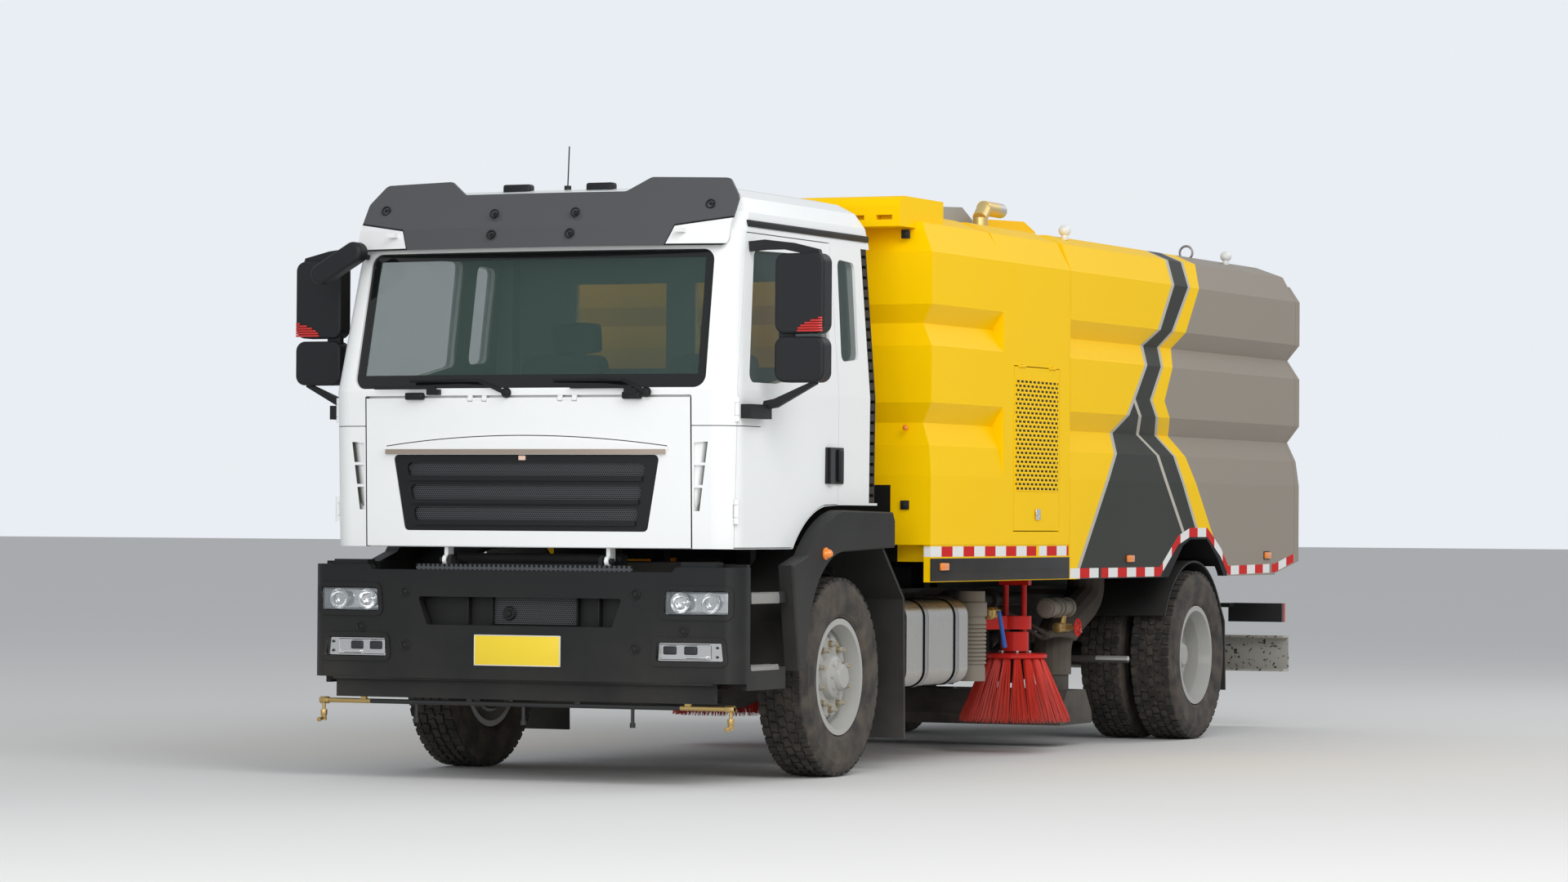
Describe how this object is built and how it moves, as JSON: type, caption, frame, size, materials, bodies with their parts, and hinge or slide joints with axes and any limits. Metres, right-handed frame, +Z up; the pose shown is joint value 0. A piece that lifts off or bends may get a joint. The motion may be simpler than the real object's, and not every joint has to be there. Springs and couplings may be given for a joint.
{
  "type": "street sweeper truck",
  "caption": "Two-axle street sweeper truck with a tilting cab, corrugated tipping hopper, side brushes and a suction head.",
  "frame": {"origin": "on the ground under the centre of the vehicle's bounding box", "axes": "+X to the vehicle's left, the front faces -Y, +Z up"},
  "size_m": [2.96, 8.62, 3.1174],
  "materials": {
    "chassis_frame": "satin",
    "engine_and_gearbox": "cast",
    "front_axle": "painted",
    "rear_axle": "painted",
    "front_bumper": "grained",
    "front_lamps": "clear",
    "front_spray_bar": "weathered",
    "front_mudguards": "grained",
    "cab_steps": "grained",
    "fuel_tank": "dull",
    "battery_boxes": "satin",
    "exhaust_silencer": "dull",
    "air_tanks": "satin",
    "rear_mudguards": "grained",
    "rear_underrun": "worn",
    "tail_lamps": "clear",
    "body_module": "gloss",
    "auxiliary_engine": "cast",
    "roof_vent": "satin",
    "suction_hose": "ribbed",
    "water_pipes": "satin",
    "steering_knuckle_left": "painted",
    "steering_knuckle_right": "painted",
    "front_rim_left": "satin",
    "front_rim_right": "satin",
    "front_tyre_left": "dusty",
    "front_tyre_right": "dusty",
    "rear_rims_left": "satin",
    "rear_rims_right": "satin",
    "rear_tyres_left": "dusty",
    "rear_tyres_right": "dusty",
    "cab_shell": "gloss",
    "cab_glass": "clear",
    "visor": "satin",
    "kerb_mirror": "grained",
    "wipers": "grained",
    "dashboard": "grained",
    "seats": "woven",
    "cab_corner_panels": "grained",
    "front_flap": "gloss",
    "grille": "grained",
    "door_left": "gloss",
    "door_right": "gloss",
    "door_glass_left": "clear",
    "door_glass_right": "clear",
    "mirror_left": "grained",
    "mirror_right": "grained",
    "access_door_left": "gloss",
    "access_door_right": "gloss",
    "brush_arm_left": "gloss",
    "brush_arm_right": "gloss",
    "brush_carrier_left": "gloss",
    "brush_carrier_right": "gloss",
    "brush_left": "bristles",
    "brush_right": "bristles",
    "suction_head": "satin",
    "tank_bed": "gloss",
    "tank_door": "gloss",
    "lift_barrel": "satin",
    "lift_rod": "polished"
  },
  "bodies": {
    "chassis": {"chassis_frame": "chassis_frame", "engine_and_gearbox": "engine_and_gearbox", "front_axle": "front_axle", "rear_axle": "rear_axle", "front_bumper": "front_bumper", "front_lamps": "front_lamps", "front_spray_bar": "front_spray_bar", "front_mudguards": "front_mudguards", "cab_steps": "cab_steps", "fuel_tank": "fuel_tank", "battery_boxes": "battery_boxes", "exhaust_silencer": "exhaust_silencer", "air_tanks": "air_tanks", "rear_mudguards": "rear_mudguards", "rear_underrun": "rear_underrun", "tail_lamps": "tail_lamps", "body_module": "body_module", "auxiliary_engine": "auxiliary_engine", "roof_vent": "roof_vent", "suction_hose": "suction_hose", "water_pipes": "water_pipes"},
    "knuckle_left": {"steering_knuckle_left": "steering_knuckle_left"},
    "knuckle_right": {"steering_knuckle_right": "steering_knuckle_right"},
    "front_wheel_left": {"front_rim_left": "front_rim_left", "front_tyre_left": "front_tyre_left"},
    "front_wheel_right": {"front_rim_right": "front_rim_right", "front_tyre_right": "front_tyre_right"},
    "rear_wheels_left": {"rear_rims_left": "rear_rims_left", "rear_tyres_left": "rear_tyres_left"},
    "rear_wheels_right": {"rear_rims_right": "rear_rims_right", "rear_tyres_right": "rear_tyres_right"},
    "cab": {"cab_shell": "cab_shell", "cab_glass": "cab_glass", "visor": "visor", "kerb_mirror": "kerb_mirror", "wipers": "wipers", "dashboard": "dashboard", "seats": "seats", "cab_corner_panels": "cab_corner_panels"},
    "flap": {"front_flap": "front_flap", "grille": "grille"},
    "door_left": {"door_left": "door_left", "door_glass_left": "door_glass_left", "mirror_left": "mirror_left"},
    "door_right": {"door_right": "door_right", "door_glass_right": "door_glass_right", "mirror_right": "mirror_right"},
    "access_door_left": {"access_door_left": "access_door_left"},
    "access_door_right": {"access_door_right": "access_door_right"},
    "brush_arm_left": {"brush_arm_left": "brush_arm_left"},
    "brush_arm_right": {"brush_arm_right": "brush_arm_right"},
    "brush_carrier_left": {"brush_carrier_left": "brush_carrier_left"},
    "brush_carrier_right": {"brush_carrier_right": "brush_carrier_right"},
    "brush_left": {"brush_left": "brush_left"},
    "brush_right": {"brush_right": "brush_right"},
    "suction_head": {"suction_head": "suction_head"},
    "tank": {"tank_bed": "tank_bed"},
    "tank_door": {"tank_door": "tank_door"},
    "lift_barrel": {"lift_barrel": "lift_barrel"},
    "lift_rod": {"lift_rod": "lift_rod"}
  },
  "joints": [
    {"name": "cab_tilt", "type": "hinge", "parent": "chassis", "child": "cab", "pos_m": [0, -4.22, 1.1], "axis": [1, 0, 0], "range_deg": [0, 50]},
    {"name": "flap_open", "type": "hinge", "parent": "cab", "child": "flap", "pos_m": [0, -4.278, 1.899], "axis": [-1, 0, 0], "range_deg": [0, 80]},
    {"name": "tank_tilt", "type": "hinge", "parent": "chassis", "child": "tank", "pos_m": [0, 3.96, 0.96], "axis": [-1, 0, 0], "range_deg": [0, 45]},
    {"name": "tank_door_open", "type": "hinge", "parent": "tank", "child": "tank_door", "pos_m": [0, 4.118, 2.842], "axis": [1, 0, 0], "range_deg": [0, 70]},
    {"name": "lift_swing", "type": "hinge", "parent": "chassis", "child": "lift_barrel", "pos_m": [0, 1.31, 0.55], "axis": [1, 0, 0], "range_deg": [0, 21.01]},
    {"name": "lift_extend", "type": "slide", "parent": "lift_barrel", "child": "lift_rod", "axis": [0, 0.9444, 0.3287], "range_m": [0, 0.8729]},
    {"name": "suction_drop", "type": "slide", "parent": "chassis", "child": "suction_head", "axis": [0, 0, -1], "range_m": [0, 0.11]},
    {"name": "door_left_open", "type": "hinge", "parent": "cab", "child": "door_left", "pos_m": [1.108, -4.147, 1.6], "axis": [0, 0, -1], "range_deg": [0, 70]},
    {"name": "steer_left", "type": "hinge", "parent": "chassis", "child": "knuckle_left", "pos_m": [0.8, -2.89, 0.51], "axis": [0, 0, 1], "range_deg": [-38, 38]},
    {"name": "front_wheel_left_spin", "type": "hinge", "parent": "knuckle_left", "child": "front_wheel_left", "pos_m": [1, -2.89, 0.51], "axis": [1, 0, 0], "continuous": true},
    {"name": "rear_wheels_left_spin", "type": "hinge", "parent": "chassis", "child": "rear_wheels_left", "pos_m": [0.94, 2.31, 0.51], "axis": [1, 0, 0], "continuous": true},
    {"name": "access_door_left_open", "type": "hinge", "parent": "chassis", "child": "access_door_left", "pos_m": [1.25, -0.464, 2.1675], "axis": [0, -1, 0], "range_deg": [0, 85]},
    {"name": "brush_left_swing", "type": "hinge", "parent": "chassis", "child": "brush_arm_left", "pos_m": [0.52, -0.56, 0.74], "axis": [0, 0, -1], "range_deg": [0, 35]},
    {"name": "brush_left_drop", "type": "slide", "parent": "brush_arm_left", "child": "brush_carrier_left", "axis": [0, 0, -1], "range_m": [0, 0.165]},
    {"name": "brush_left_spin", "type": "hinge", "parent": "brush_carrier_left", "child": "brush_left", "pos_m": [0.9, 0.11, 0.55], "axis": [0, 0, 1], "continuous": true},
    {"name": "door_right_open", "type": "hinge", "parent": "cab", "child": "door_right", "pos_m": [-1.108, -4.147, 1.6], "axis": [0, 0, 1], "range_deg": [0, 70]},
    {"name": "steer_right", "type": "hinge", "parent": "chassis", "child": "knuckle_right", "pos_m": [-0.8, -2.89, 0.51], "axis": [0, 0, 1], "range_deg": [-38, 38]},
    {"name": "front_wheel_right_spin", "type": "hinge", "parent": "knuckle_right", "child": "front_wheel_right", "pos_m": [-1, -2.89, 0.51], "axis": [1, 0, 0], "continuous": true},
    {"name": "rear_wheels_right_spin", "type": "hinge", "parent": "chassis", "child": "rear_wheels_right", "pos_m": [-0.94, 2.31, 0.51], "axis": [1, 0, 0], "continuous": true},
    {"name": "access_door_right_open", "type": "hinge", "parent": "chassis", "child": "access_door_right", "pos_m": [-1.25, -0.464, 2.1675], "axis": [0, 1, 0], "range_deg": [0, 85]},
    {"name": "brush_right_swing", "type": "hinge", "parent": "chassis", "child": "brush_arm_right", "pos_m": [-0.52, -0.56, 0.74], "axis": [0, 0, 1], "range_deg": [0, 35]},
    {"name": "brush_right_drop", "type": "slide", "parent": "brush_arm_right", "child": "brush_carrier_right", "axis": [0, 0, -1], "range_m": [0, 0.165]},
    {"name": "brush_right_spin", "type": "hinge", "parent": "brush_carrier_right", "child": "brush_right", "pos_m": [-0.9, 0.11, 0.55], "axis": [0, 0, 1], "continuous": true}
  ],
  "couplings": [
    {"joint": "steer_right", "follows": "steer_left", "ratio": 1},
    {"joint": "lift_swing", "follows": "tank_tilt", "ratio": 0.46687},
    {"joint": "lift_extend", "follows": "tank_tilt", "m_per_rad": 1.1114}
  ]
}
